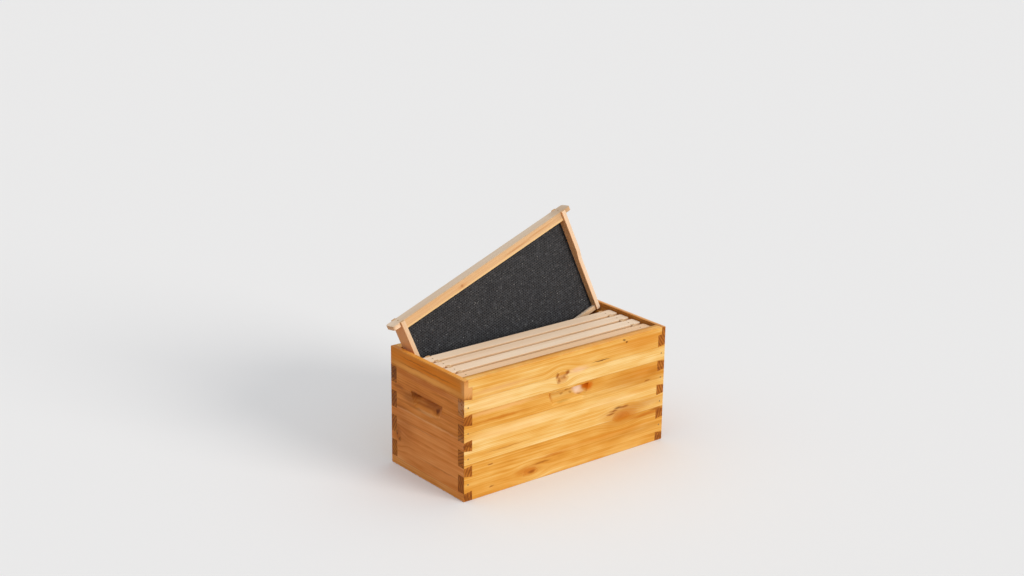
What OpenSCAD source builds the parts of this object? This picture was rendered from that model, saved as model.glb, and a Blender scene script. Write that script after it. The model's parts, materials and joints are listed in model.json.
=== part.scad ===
// Nuc box: a small beehive body of four dovetailed boards, open above and below, with five
// self-spacing comb frames. Four frames hang in the box, and the fifth is pulled out and leans in it.
// Millimetres. X runs along the long side, Y across the frames towards the back, Z up.
// The origin is on the ground, in the middle of the box.

/* [Box] */
// Outside length of the box
box_l = 505; // [470:1:580]
// Height of the box
box_h = 244.5; // [210:0.5:300]
// Thickness of the four boards
board_t = 19; // [16:0.5:24]
// Gap between the front board and the first frame
front_gap = 3; // [1:0.5:8]
// Room left behind the frames when all of them hang in the box
rear_room = 20.8; // [18:0.1:40]

/* [Frame rest] */
// Width of the rabbet in an end board that carries the lugs
rabbet_w = 9.5; // [8:0.5:12]
// Depth of that rabbet below the rim
rabbet_d = 15.5; // [13:0.5:20]

/* [Dovetails] */
// Tails at each end of a long board
tail_count = 4; // [3:1:5]
// Height of the top pin at the corner
top_pin_h = 38; // [30:1:46]
// Height of the bottom pin at the corner
bottom_pin_h = 16.5; // [12:0.5:28]
// Height of the other pins at the corner
pin_h = 17; // [13:0.5:24]
// How much a flank of a tail closes in from the corner to its root
dovetail_flare = 3; // [1:0.5:4]

/* [Handholds] */
// Length of a handhold along its upper edge
handhold_w = 102; // [80:1:120]
// Height of a handhold on the face of the board
handhold_h = 31; // [28:1:40]
// Greatest depth of a handhold
handhold_depth = 12; // [8:0.5:13]
// Distance from the rim down to the upper edge of a handhold
handhold_drop = 73; // [60:1:100]
// Radius of the tilted cutter that scoops it out
cutter_r = 20; // [15:0.5:30]

/* [Corner nails] */
// Diameter of a corner nail
corner_nail_d = 2.5; // [2:0.1:3.5]
// Diameter of its head
corner_nail_head_d = 3.6; // [3:0.1:6]
// Thickness of its head
corner_nail_head_t = 1; // [0.5:0.1:2]
// Length of a corner nail
corner_nail_l = 50; // [35:1:65]

/* [Frames] */
// Bee space between a frame and the end boards
end_space = 9.5; // [7:0.5:12]
// Bee space under a hanging frame
bottom_space = 6.1; // [4:0.1:12]
// Gap between the side bars of neighbouring frames
frame_gap = 0.3; // [0.2:0.1:1.5]
// Width of the upper part of a side bar, which spaces the frames
side_bar_w = 35; // [33:0.5:38]
// Width of the lower part of a side bar
side_bar_low_w = 27; // [24:0.5:30]
// Thickness of a side bar
side_bar_t = 9.5; // [8:0.5:11]
// Height of the wide part of a side bar
shoulder_h = 92; // [60:1:120]
// Height over which it narrows
shoulder_taper = 20; // [8:0.5:30]
// Width of the top bar
top_bar_w = 27; // [24:0.5:30]
// Height of the top bar between the side bars
top_bar_h = 19; // [16:0.5:22]
// Thickness of the lugs at the ends of the top bar
lug_t = 9; // [7.5:0.5:11]
// Corner radius of the lugs
lug_r = 5; // [2:0.5:8]
// Gap between a lug and the upright face of its rabbet
lug_end_gap = 1.7; // [1:0.1:3]
// Width of the top bar's neck, which sits in the fork of a side bar
neck_w = 21; // [16:0.5:23]
// Width of the bottom bar
bottom_bar_w = 19; // [15:0.5:22]
// Height of the bottom bar
bottom_bar_h = 9.5; // [8:0.5:12]

/* [Foundation] */
// Thickness of the foundation sheet at its border
sheet_t = 3; // [2.4:0.1:4]
// Thickness of the sheet between the cells of its two faces
sheet_core_t = 1.2; // [0.8:0.1:1.8]
// Width of the plain border that shows round the cells
sheet_border = 3; // [1:0.5:10]
// Gap between the sheet and a side bar
sheet_end_gap = 1.5; // [0.5:0.1:4]
// Depth of the groove in the top bar
top_groove_d = 6; // [3:0.5:7]
// Depth of the groove in the bottom bar
bottom_groove_d = 4; // [2:0.5:6]

/* [Frame nails] */
// Diameter of a frame nail
frame_nail_d = 1.6; // [1.2:0.1:2]
// Diameter of its head
frame_nail_head_d = 3.6; // [3:0.1:5]
// Thickness of its head
frame_nail_head_t = 0.8; // [0.4:0.1:1.2]
// Length of a frame nail
frame_nail_l = 32; // [24:1:40]

/* [Leaning frame] */
// Angle by which the top of the pulled frame leans towards the back, in degrees
lean = 8.8; // [7:0.1:10]
// Gap between its raised corner and the upright face of the rabbet
corner_gap = 2; // [1:0.1:4]

/* [Fits] */
// Gap in the glued joints
joint_gap = 0.05; // [0.02:0.01:0.1]
// Gap on each face of the foundation in its grooves
groove_gap = 0.2; // [0.1:0.05:0.4]
// Gap where a frame rests on a rabbet
rest_gap = 0.1; // [0.05:0.05:0.3]
// Gap where the leaning frame touches the rabbet's edge and the back board
touch_gap = 0.3; // [0.1:0.1:0.6]

/* [Hidden] */
$fn = 48;
frame_count = 5;
over = 1;

// Box
inner_l = box_l - 2 * board_t;
inner_w = front_gap + frame_count * side_bar_w + (frame_count - 1) * frame_gap + rear_room;
box_w = inner_w + 2 * board_t;
ledge_z = box_h - rabbet_d;
lip_t = board_t - rabbet_w;
tail_h = (box_h - top_pin_h - bottom_pin_h - (tail_count - 1) * pin_h) / tail_count;

// Section of a handhold: an upper flank and a longer lower flank meet at a right angle
flank_low = (handhold_h + sqrt(pow(handhold_h, 2) - 4 * pow(handhold_depth, 2))) / 2;
flank_rise = handhold_h - flank_low;
cutter_tilt = atan(handhold_depth / flank_low);
cutter_plunge = norm([handhold_depth, flank_rise]);
cutter_travel = handhold_w - 2 * sqrt(2 * cutter_r * cutter_plunge - pow(cutter_plunge, 2));
cutter_h = norm([handhold_depth, flank_low]) + handhold_depth;

// Frames
frame_l = inner_l - 2 * end_space;
frame_floor = bottom_space;
frame_h = ledge_z + rest_gap + lug_t - frame_floor;
frame_pitch = side_bar_w + frame_gap;
first_frame_y = front_gap + side_bar_w / 2 - inner_w / 2;
window_l = frame_l - 2 * side_bar_t;
top_bar_l = inner_l + 2 * (rabbet_w - lug_end_gap);
groove_w = sheet_t + 2 * groove_gap;
sheet_l = window_l - 2 * sheet_end_gap;
sheet_low = bottom_bar_h - bottom_groove_d + joint_gap;
sheet_high = frame_h - top_bar_h + top_groove_d - joint_gap;

// Leaning frame: its left side bar lies on the edge of the left rabbet and on the back board's rim,
// and the foot of its right side bar lies on the edge of the right rabbet
lean_span = inner_l - touch_gap;
lean_reach = rabbet_w - corner_gap;
tilt = acos((frame_l + sqrt(pow(frame_l, 2) - 4 * lean_span * lean_reach)) / (2 * lean_span));
foot_drop = sin(lean) * side_bar_low_w / 2;
edge_drop = sin(lean) * side_bar_w / 2;
corner_x = pow(cos(tilt), 2) * (
    touch_gap - inner_l / 2 + frame_l / cos(tilt)
    + tan(tilt) * (edge_drop - foot_drop - rest_gap) / cos(lean)
    + pow(tan(tilt), 2) * inner_l / 2
);
corner_z = ledge_z + rest_gap + foot_drop + (corner_x - inner_l / 2) * tan(tilt) * cos(lean);
corner_y = inner_w / 2 - touch_gap - cos(lean) * side_bar_w / 2
    - tan(lean) * (box_h - corner_z + edge_drop);

BOX_PIECES = ["front_side_board", "back_side_board", "left_end_board", "right_end_board", "corner_nails"];
FRAME_PIECES = ["top_bar", "left_side_bar", "right_side_bar", "bottom_bar", "foundation", "nails"];

board_colour = "#d9994f";
end_board_colour = "#b8743a";
frame_colour = "#ead0ac";
sheet_colour = "#333237";
nail_colour = "#8b8984";

// Height of the middle of a tail, counted from the bottom
function tail_mid(i) = bottom_pin_h + tail_h / 2 + i * (tail_h + pin_h);

// An outline from the points of its right half, given from the bottom up
function both_halves(half) = concat(
    half,
    [for (i = [len(half) - 1 : -1 : 0]) [-half[i][0], half[i][1]]]
);

// Half the height of a tail at a distance x from the corner
function tail_half(x) = tail_h / 2 - dovetail_flare * x / board_t;

// Stands a profile drawn in X and Z upright and carries it along Y from zero to depth
module stand_up(depth) {
    translate([0, depth, 0])
        rotate([90, 0, 0])
            linear_extrude(depth)
                children();
}

// Section of an end board, with the rabbet that carries the lugs. The outer face is at zero
module end_section(grow = 0, past = 0) {
    polygon([
        [-past, -past],
        [board_t + grow, -past],
        [board_t + grow, ledge_z + grow],
        [lip_t + grow, ledge_z + grow],
        [lip_t + grow, box_h + past],
        [-past, box_h + past]
    ]);
}

// The tails of one corner, seen from the front, carried past their roots
module tails(past, grow = 0) {
    root = board_t + past;
    for (i = [0 : tail_count - 1])
        translate([0, tail_mid(i)])
            polygon([
                [-over, -tail_half(-over) - grow],
                [root, -tail_half(root) - grow],
                [root, tail_half(root) + grow],
                [-over, tail_half(-over) + grow]
            ]);
}

// Space of a handhold in a face that looks towards -Y, with its upper edge on the X axis
module handhold() {
    translate([0, handhold_depth, -flank_rise])
        rotate([180 - cutter_tilt, 0, 0])
            linear_extrude(cutter_h)
                translate([0, cutter_r]) {
                    square([cutter_travel, 2 * cutter_r], center = true);
                    for (side = [-1, 1])
                        translate([side * cutter_travel / 2, 0])
                            circle(cutter_r);
                }
}

// A nail that points down, with the top of its head at the origin
module nail(d, head_d, head_t, l) {
    translate([0, 0, -l])
        cylinder(h = l, d = d);
    translate([0, 0, -head_t])
        cylinder(h = head_t, d = head_d);
}

// A long board, standing at the front
module side_board() {
    color(board_colour)
        difference() {
            translate([-box_l / 2, -box_w / 2, 0])
                cube([box_l, board_t, box_h]);
            for (end = [0, 1])
                mirror([end, 0, 0])
                    translate([-box_l / 2, -box_w / 2 - over, 0])
                        stand_up(board_t + 2 * over)
                            difference() {
                                end_section(joint_gap, over);
                                tails(past = over);
                            }
            translate([0, -box_w / 2, box_h - handhold_drop])
                handhold();
        }
}

// A short board, standing at the left
module end_board() {
    color(end_board_colour)
        difference() {
            translate([-box_l / 2, -box_w / 2, 0])
                stand_up(box_w)
                    end_section();
            for (side = [0, 1])
                mirror([0, side, 0])
                    translate([-box_l / 2, -box_w / 2 - over, 0])
                        stand_up(board_t + joint_gap + over)
                            tails(past = over, grow = joint_gap);
            translate([-box_l / 2, 0, box_h - handhold_drop])
                rotate([0, 0, -90])
                    handhold();
        }
}

// One nail through each tail into the end board behind it
module corner_nails() {
    color(nail_colour)
        for (turn = [0, 180], end = [-1, 1], i = [0 : tail_count - 1])
            rotate([0, 0, turn])
                translate([end * (box_l - board_t) / 2, -box_w / 2, tail_mid(i)])
                    rotate([90, 0, 0])
                        nail(corner_nail_d, corner_nail_head_d, corner_nail_head_t, corner_nail_l);
}

// Plan of the top bar: round-cornered lugs, and a neck for the fork of each side bar
module top_bar_plan() {
    difference() {
        union() {
            square([top_bar_l, top_bar_w - 2 * lug_r], center = true);
            square([top_bar_l - 2 * lug_r, top_bar_w], center = true);
            for (x = [-1, 1], y = [-1, 1])
                translate([x * (top_bar_l / 2 - lug_r), y * (top_bar_w / 2 - lug_r)])
                    circle(lug_r);
        }
        for (x = [-1, 1], y = [-1, 1])
            translate([x * (frame_l - side_bar_t) / 2, y * top_bar_w / 2])
                square([side_bar_t + 2 * joint_gap, top_bar_w - neck_w], center = true);
    }
}

// Front view of the top bar: a deep middle that ends in thin lugs
module top_bar_front() {
    polygon(both_halves([
        [window_l / 2 - joint_gap, frame_h - top_bar_h],
        [window_l / 2 - joint_gap, frame_h - lug_t],
        [top_bar_l / 2 + over, frame_h - lug_t],
        [top_bar_l / 2 + over, frame_h]
    ]));
}

module top_bar() {
    color(frame_colour)
        difference() {
            intersection() {
                translate([0, -top_bar_w / 2 - over, 0])
                    stand_up(top_bar_w + 2 * over)
                        top_bar_front();
                translate([0, 0, frame_h - top_bar_h - over])
                    linear_extrude(top_bar_h + 2 * over)
                        top_bar_plan();
            }
            translate([-frame_l / 2, -groove_w / 2, frame_h - top_bar_h - over])
                cube([frame_l, groove_w, top_groove_d + over]);
        }
}

// A side bar with its inner and outer faces square to X: wide shoulders that space the frames,
// a fork above for the top bar's neck and a notch below for the bottom bar
module side_bar() {
    color(frame_colour)
        rotate([90, 0, 90])
            linear_extrude(side_bar_t)
                polygon(both_halves([
                    [bottom_bar_w / 2 + joint_gap, bottom_bar_h + joint_gap],
                    [bottom_bar_w / 2 + joint_gap, 0],
                    [side_bar_low_w / 2, 0],
                    [side_bar_low_w / 2, frame_h - shoulder_h - shoulder_taper],
                    [side_bar_w / 2, frame_h - shoulder_h],
                    [side_bar_w / 2, frame_h],
                    [neck_w / 2 + joint_gap, frame_h],
                    [neck_w / 2 + joint_gap, frame_h - lug_t - joint_gap]
                ]));
}

module left_side_bar() {
    translate([-frame_l / 2, 0, 0])
        side_bar();
}

module right_side_bar() {
    translate([frame_l / 2 - side_bar_t, 0, 0])
        side_bar();
}

module bottom_bar() {
    color(frame_colour)
        difference() {
            translate([-frame_l / 2, -bottom_bar_w / 2, 0])
                cube([frame_l, bottom_bar_w, bottom_bar_h]);
            translate([-window_l / 2, -groove_w / 2, bottom_bar_h - bottom_groove_d])
                cube([window_l, groove_w, bottom_groove_d + over]);
        }
}

// A moulded sheet whose cell field on each face lies below the plain border
module foundation() {
    field_l = sheet_l - 2 * sheet_border;
    field_low = bottom_bar_h + sheet_border;
    field_h = frame_h - top_bar_h - sheet_border - field_low;
    color(sheet_colour)
        difference() {
            translate([-sheet_l / 2, -sheet_t / 2, sheet_low])
                cube([sheet_l, sheet_t, sheet_high - sheet_low]);
            for (side = [0, 1])
                mirror([0, side, 0])
                    translate([-field_l / 2, sheet_core_t / 2, field_low])
                        cube([field_l, sheet_t, field_h]);
        }
}

// Nails down through the necks and up through the bottom bar, into the side bars
module frame_nails() {
    color(nail_colour)
        for (end = [-1, 1])
            translate([end * (frame_l - side_bar_t) / 2, 0, 0]) {
                translate([0, 0, frame_h])
                    nail(frame_nail_d, frame_nail_head_d, frame_nail_head_t, frame_nail_l);
                mirror([0, 0, 1])
                    nail(frame_nail_d, frame_nail_head_d, frame_nail_head_t, frame_nail_l);
            }
}

// Places a frame that is drawn around X with its foot at zero: the last one leans, the others hang
module in_place(i) {
    if (i == frame_count)
        translate([corner_x, corner_y, corner_z])
            rotate([-lean, 0, 0])
                rotate([0, -tilt, 0])
                    translate([-frame_l / 2, 0, 0])
                        children();
    else
        translate([0, first_frame_y + (i - 1) * frame_pitch, frame_floor])
            children();
}

module front_side_board() {
    side_board();
}

module back_side_board() {
    rotate([0, 0, 180])
        side_board();
}

module left_end_board() {
    end_board();
}

module right_end_board() {
    rotate([0, 0, 180])
        end_board();
}

front_side_board();
back_side_board();
left_end_board();
right_end_board();
corner_nails();
for (i = [1 : frame_count]) {
    in_place(i) top_bar();
    in_place(i) left_side_bar();
    in_place(i) right_side_bar();
    in_place(i) bottom_bar();
    in_place(i) foundation();
    in_place(i) frame_nails();
}
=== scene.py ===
# %% [markdown]
# # A nuc box with five comb frames
# A nuc box is a small beehive body. Four boards are dovetailed at the corners and dipped in hot wax,
# and five wooden frames with black moulded foundation go in from above. Here the last frame is
# pulled out and leans in the box.
#
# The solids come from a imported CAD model, in metres, with Z up. This script never moves them. It puts
# a finished piece in the place of each solid: the same shape with its sharp edges eased, the cells
# pressed into the foundation, nails with domed heads, and the wood, wax, plastic and steel they show.

import json
import math

import bmesh
import bpy
import numpy as np
from mathutils import Matrix, Vector


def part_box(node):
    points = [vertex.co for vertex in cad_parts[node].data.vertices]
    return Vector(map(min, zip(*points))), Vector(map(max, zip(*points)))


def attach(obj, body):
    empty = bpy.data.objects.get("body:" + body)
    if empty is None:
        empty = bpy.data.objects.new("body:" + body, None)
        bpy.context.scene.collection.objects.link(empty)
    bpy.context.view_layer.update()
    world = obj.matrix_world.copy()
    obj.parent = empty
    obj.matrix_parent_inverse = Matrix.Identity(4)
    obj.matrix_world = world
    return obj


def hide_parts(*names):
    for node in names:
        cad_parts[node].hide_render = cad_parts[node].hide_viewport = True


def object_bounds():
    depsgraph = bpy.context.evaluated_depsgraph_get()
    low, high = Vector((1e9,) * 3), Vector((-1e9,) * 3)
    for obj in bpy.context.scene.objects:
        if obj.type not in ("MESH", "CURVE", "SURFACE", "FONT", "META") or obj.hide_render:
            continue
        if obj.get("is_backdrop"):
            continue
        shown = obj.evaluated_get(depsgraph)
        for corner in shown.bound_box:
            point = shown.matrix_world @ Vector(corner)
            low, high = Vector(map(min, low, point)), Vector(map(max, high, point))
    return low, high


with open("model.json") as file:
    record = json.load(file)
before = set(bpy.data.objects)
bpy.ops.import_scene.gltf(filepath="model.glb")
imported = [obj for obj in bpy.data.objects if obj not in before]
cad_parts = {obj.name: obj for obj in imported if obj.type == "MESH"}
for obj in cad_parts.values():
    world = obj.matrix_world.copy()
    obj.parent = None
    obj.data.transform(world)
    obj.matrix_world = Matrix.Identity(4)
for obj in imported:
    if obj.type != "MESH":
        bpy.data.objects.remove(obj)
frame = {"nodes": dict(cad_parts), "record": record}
cad_low, cad_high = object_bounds()
MM = 0.001
scene = bpy.context.scene
print("CAD box in mm:", [round(side / MM) for side in cad_high - cad_low])

# %% [markdown]
# ## The camera
# The picture to match was taken from the left and a little above, with a long lens. Such a camera can be
# turned by eye until it looks right, or measured. These angles and lengths were fitted to the corners
# of the box, whose real sizes are known, so edges land where the picture has them. The lens follows
# from the focal length in pixels, because Blender measures a lens against the sensor.

# %% Set up the camera
CAMERA_AZIMUTH = math.radians(-38.43)
CAMERA_ELEVATION = math.radians(18.41)
CAMERA_ROLL = math.radians(0.61)
CAMERA_DISTANCE = 3.503
CAMERA_SLIDE_RIGHT = -0.0355
CAMERA_SLIDE_UP = 0.210
PICTURE_WIDTH_PX = 1024
FOCAL_LENGTH_PX = 1756.2
BOX_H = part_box("front_side_board")[1].z


def direction(azimuth, elevation):
    """The unit vector towards a point round the object, with azimuth 0 in front and 90 at the right."""
    level = math.cos(elevation)
    return Vector((math.sin(azimuth) * level, -math.cos(azimuth) * level, math.sin(elevation)))


back = direction(CAMERA_AZIMUTH, CAMERA_ELEVATION)
sideways = Vector((math.cos(CAMERA_AZIMUTH), math.sin(CAMERA_AZIMUTH), 0))
right = Matrix.Rotation(CAMERA_ROLL, 3, back) @ sideways
up = back.cross(right)

camera = bpy.data.objects.new("camera", bpy.data.cameras.new("camera"))
scene.collection.objects.link(camera)
camera.data.lens = FOCAL_LENGTH_PX * camera.data.sensor_width / PICTURE_WIDTH_PX
camera.matrix_world = Matrix.Translation(
    Vector((0, 0, BOX_H / 2)) + back * CAMERA_DISTANCE + right * CAMERA_SLIDE_RIGHT + up * CAMERA_SLIDE_UP
) @ Matrix((right, up, back)).transposed().to_4x4()
scene.camera = camera
print("lens in mm:", round(camera.data.lens, 2))

# %% [markdown]
# ## One helper for nodes, one for colours
# Materials and node trees are built from small parts. One function adds a node, sets and links it and
# returns the output to go on from. Colours are written as the hex values that a paint chart shows, and
# one function converts them to the linear light that Blender computes in.

# %% Add nodes and convert colours
MATH = "ShaderNodeMath"
VECTOR_MATH = "ShaderNodeVectorMath"
MIX = "ShaderNodeMix"
# A Mix node keeps its two colours in these inputs, behind those for numbers and vectors.
MIX_FROM = 6
MIX_TO = 7
COLOURS = {"data_type": "RGBA"}


def linear(hex_colour):
    """The linear RGBA of an sRGB colour written as #rrggbb."""
    shares = [int(hex_colour[i:i + 2], 16) / 255 for i in (1, 3, 5)]
    return tuple(s / 12.92 if s <= 0.04045 else ((s + 0.055) / 1.055) ** 2.4 for s in shares) + (1.0,)


def feed(node, inputs):
    """Sets inputs of a node, each to a value, a link or a list of links."""
    for key, value in inputs.items():
        for item in value if isinstance(value, list) else [value]:
            if isinstance(item, bpy.types.NodeSocket):
                node.id_data.links.new(item, node.inputs[key])
            else:
                node.inputs[key].default_value = item


def add(tree, kind, inputs=None, out=None, stops=(), **settings):
    """Adds a node and returns its output of that name, or else the first one in use.

    stops fills a colour ramp with (place, colour) pairs."""
    node = tree.nodes.new(kind)
    for name, value in settings.items():
        setattr(node, name, value)
    feed(node, inputs or {})
    for i, (place, colour) in enumerate(stops):
        elements = node.color_ramp.elements
        stop = elements[i] if i < len(elements) else elements.new(place)
        stop.position, stop.color = place, colour
    if out is not None:
        return node.outputs[out]
    return next((socket for socket in node.outputs if socket.enabled), None)


def new_material(name):
    """A new material with the shader that Blender puts in it, as (material, tree, shader)."""
    material = bpy.data.materials.new(name)
    material.use_nodes = True
    tree = material.node_tree
    return material, tree, tree.nodes["Principled BSDF"]


print("honey in linear light:", [round(c, 3) for c in linear("#e8a850")])

# %% [markdown]
# ## The floor
# A sheet that curves up behind the object could be built, but a wide flat floor before a backdrop of
# nearly the same grey looks alike and needs one face. The camera sees that floor pale, also in a
# gloss. The light that bounces off it is warmer, because the shaded faces in the picture are warm.

# %% Make the floor
FLOOR_REACH = 30.0
FLOOR_SEEN = "#edeef0"
FLOOR_BOUNCE = "#c8a078"


def seen_by_eye(tree):
    """1 for a ray from the camera, also by way of a gloss or glass, and 0 for light that bounces."""
    path = add(tree, "ShaderNodeLightPath").node.outputs
    seen = path["Is Camera Ray"]
    for ray in ("Is Glossy Ray", "Is Transmission Ray"):
        seen = add(tree, MATH, {0: seen, 1: path[ray]}, operation="MAXIMUM")
    return seen


floor_mesh = bpy.data.meshes.new("floor")
floor_corners = [(x * FLOOR_REACH, y * FLOOR_REACH, 0) for x, y in ((-1, -1), (1, -1), (1, 1), (-1, 1))]
floor_mesh.from_pydata(floor_corners, [], [(0, 1, 2, 3)])
floor = bpy.data.objects.new("floor", floor_mesh)
scene.collection.objects.link(floor)
floor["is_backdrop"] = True

# Chalky paint is rolled on, and its rough skin scatters light evenly: no gloss, and nothing mirrors in it.
floor_paint, tree, shader = new_material("matte studio floor")
tones = {0: seen_by_eye(tree), MIX_FROM: linear(FLOOR_BOUNCE), MIX_TO: linear(FLOOR_SEEN)}
paint = add(tree, MIX, tones, **COLOURS)
feed(shader, {"Base Color": paint, "Roughness": 1.0, "Specular IOR Level": 0.0})
floor_mesh.materials.append(floor_paint)
print("floor", 2 * FLOOR_REACH, "m wide")

# %% [markdown]
# ## The light
# One large soft lamp shines from the front right and white fill comes from above, so the left end
# stands in shade. A sun lamp with a wide angle gives a soft shadow and lights the floor to its far
# edge, which an area lamp would not. The world is the fill, and the camera sees a pale backdrop there.

# %% Set up the lamps
BACKDROP = "#eaeaea"
FILL_COLOUR = "#ffffff"
FILL_AROUND = 0.12
FILL_ABOVE = 0.95
KEY_COLOUR = "#fff8ee"
KEY_STRENGTH = 1.82
KEY_SOFTNESS = math.radians(28)
KEY_AZIMUTH = math.radians(20)
KEY_ELEVATION = math.radians(22)

world = scene.world or bpy.data.worlds.new("studio")
scene.world = world
world.use_nodes = True
tree = world.node_tree
tree.nodes.clear()
way = add(tree, "ShaderNodeTexCoord", out="Generated")
upward = add(tree, "ShaderNodeSeparateXYZ", {0: way}, out="Z")
above = add(tree, MATH, {0: upward, 1: 0.0}, operation="MAXIMUM")
level = add(tree, MATH, {0: above, 1: FILL_ABOVE, 2: FILL_AROUND}, operation="MULTIPLY_ADD")
fill = add(tree, "ShaderNodeBackground", {"Color": linear(FILL_COLOUR), "Strength": level})
shown = add(tree, "ShaderNodeBackground", {"Color": linear(BACKDROP), "Strength": 1.0})
both = add(tree, "ShaderNodeMixShader", {0: seen_by_eye(tree), 1: fill, 2: shown})
add(tree, "ShaderNodeOutputWorld", {0: both})

key = bpy.data.objects.new("key", bpy.data.lights.new("key", "SUN"))
scene.collection.objects.link(key)
key.data.energy = KEY_STRENGTH
key.data.angle = KEY_SOFTNESS
key.data.color = linear(KEY_COLOUR)[:3]
towards_key = direction(KEY_AZIMUTH, KEY_ELEVATION)
key.rotation_euler = towards_key.to_track_quat("Z", "Y").to_euler()
scene.view_settings.view_transform = "Standard"
print("key lamp from", [round(c, 2) for c in towards_key])

# %% [markdown]
# ## Where each frame stands
# Wood grain runs along each stick, also in the frame that leans, so every frame needs its own axes. The
# leaning angles could be copied from the drawing, but the solids already hold them: the corners of a
# flat sheet spread most along its length, less along its height and least through it. The principal
# axes of those corners are the axes of the frame.

# %% Find the axes of the frames
MICROMETRE_DIGITS = 6
BODIES = frame["record"]["behaviour"]["bodies"]
FRAMES = sorted(body for body in BODIES if body != "box")


def corners_of(node):
    """The distinct corners of a CAD node as an array."""
    places = np.array([v.co for v in frame["nodes"][node].data.vertices], float)
    return np.unique(places.round(MICROMETRE_DIGITS), axis=0)


def sheet_place(node):
    """The matrix from a sheet's own axes, with their origin in its middle, to where it is."""
    corners = corners_of(node)
    thin, high, long = np.linalg.eigh(np.cov(corners.T))[1].T
    axes = np.array([a * np.sign(a[i]) for i, a in enumerate((long, thin, high))])
    turned = corners @ axes.T
    middle = (turned.min(0) + turned.max(0)) / 2 @ axes
    return Matrix.Translation(middle) @ Matrix(axes.T.tolist()).to_4x4()


PLACES = {body: sheet_place(body + "_foundation") for body in FRAMES}
PLACES["box"] = Matrix.Identity(4)
for body, place in sorted(PLACES.items()):
    print(body, "stands at mm", [round(c / MM, 1) for c in place.translation])

# %% [markdown]
# ## Easing the edges
# No wooden edge is perfectly sharp. A little roundness catches the light and makes a joint read as two
# pieces. A copy of the CAD solid is welded, its flat faces are joined, and a Bevel modifier rounds the
# outer corners, more on the edges of the whole box than inside a joint. Hardened normals keep the large
# faces flat in the light, which a Subdivision modifier would not.

# %% Ease a piece
WELD = 0.002 * MM
FLAT_ANGLE = math.radians(1)
EDGE_ANGLE = math.radians(25)
EASE_SEGMENTS = 2
BOX_LOW = Vector((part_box("left_end_board")[0].x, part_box("front_side_board")[0].y, 0))
BOX_HIGH = Vector((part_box("right_end_board")[1].x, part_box("back_side_board")[1].y, BOX_H))


def mark_edges(bm, inside_share):
    """Marks the outward edges for rounding: in full on the outline of the box, and less elsewhere."""
    layer = bm.edges.layers.float.new("bevel_weight_edge")
    for edge in bm.edges:
        if not (edge.is_manifold and edge.is_convex and edge.calc_face_angle() > EDGE_ANGLE):
            continue
        sides = 0
        for axis in range(3):
            for corner in (BOX_LOW, BOX_HIGH):
                sides += all(abs(vert.co[axis] - corner[axis]) < WELD for vert in edge.verts)
        edge[layer] = 1.0 if sides >= 2 else inside_share


def baked(obj):
    """Turns an object's modifiers into its mesh."""
    made = bpy.data.meshes.new_from_object(obj.evaluated_get(bpy.context.evaluated_depsgraph_get()))
    obj.modifiers.clear()
    old, obj.data = obj.data, made
    bpy.data.meshes.remove(old)
    return obj


def eased(node, name, radius, inside_share=1.0):
    """A copy of a CAD node with its outward edges rounded, as a new object."""
    mesh = bpy.data.meshes.new(name)
    bm = bmesh.new()
    bm.from_mesh(frame["nodes"][node].data)
    bmesh.ops.remove_doubles(bm, verts=bm.verts, dist=WELD)
    bmesh.ops.dissolve_limit(bm, angle_limit=FLAT_ANGLE, verts=bm.verts, edges=bm.edges)
    mark_edges(bm, inside_share)
    bm.to_mesh(mesh)
    bm.free()
    mesh.shade_smooth()
    mesh.set_sharp_from_angle(angle=EDGE_ANGLE)
    obj = bpy.data.objects.new(name, mesh)
    scene.collection.objects.link(obj)
    bevel = obj.modifiers.new("eased", "BEVEL")
    bevel.limit_method = "WEIGHT"
    bevel.width = radius
    bevel.segments = EASE_SEGMENTS
    bevel.use_clamp_overlap = False
    bevel.harden_normals = True
    return baked(obj)


print("box in mm:", [round(side / MM, 1) for side in BOX_HIGH - BOX_LOW])

# %% [markdown]
# ## Laying the grain
# A material can't know which way a stick was sawn, so each wooden piece carries that in attributes.
# grain_mm holds every point's place along, across and through the grain, end_grain marks the faces
# that cut across it, and broad_side those that look along its third axis. A UV map holds two lengths,
# and wood needs all three. A finished piece is then handed over with its material, the body it moves
# with and the solid whose place it takes.

# %% Lay the grain of a piece and hand it over
FACING_FROM = 0.6


def in_axes(points, place):
    """Points of the scene in the axes of a place."""
    inverse = np.array(place.inverted())
    return np.array(points) @ inverse[:3, :3].T + inverse[:3, 3]


def lay_grain(obj, place, order, shift=(0, 0, 0)):
    """Writes the wood's attributes. order names the axes along, across and through the grain."""
    mesh = obj.data
    grain = in_axes([v.co for v in mesh.vertices], place)[:, order] / MM + shift
    mesh.attributes.new("grain_mm", "FLOAT_VECTOR", "POINT").data.foreach_set(
        "vector", grain.astype(np.float32).ravel())
    normals = in_axes([f.normal for f in mesh.polygons], place.to_3x3().to_4x4())
    for name, axis in (("end_grain", order[0]), ("broad_side", order[2])):
        facing = np.clip((abs(normals[:, axis]) - FACING_FROM) / (1 - FACING_FROM), 0, 1)
        mesh.attributes.new(name, "FLOAT", "FACE").data.foreach_set("value", facing.astype(np.float32))


def hand_over(piece, material, body, node):
    """Gives a piece its one material, parents it to its body's empty and hides the solid it replaces."""
    piece.data.materials.clear()
    piece.data.materials.append(material)
    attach(piece, body)
    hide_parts(node)


print("end grain counts from", round(math.degrees(math.asin(FACING_FROM))), "degrees across the grain")

# %% [markdown]
# ## Wood as a solid block
# Fir and pine show a pale ring for each spring and a darker line for each summer: long lines on a face
# and arcs on a sawn end. A picture could be pasted on, but the rings have to meet at every edge. So the
# material is a block of wood. Each plank has a pith line somewhere behind it, and a point's distance
# from that line, bent a little by noise, says which ring it is in. Noise that is stretched along the
# grain gives the fibres and streaks.

# %% Draw noise and rings along the grain
RING_MM = 3.1
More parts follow.
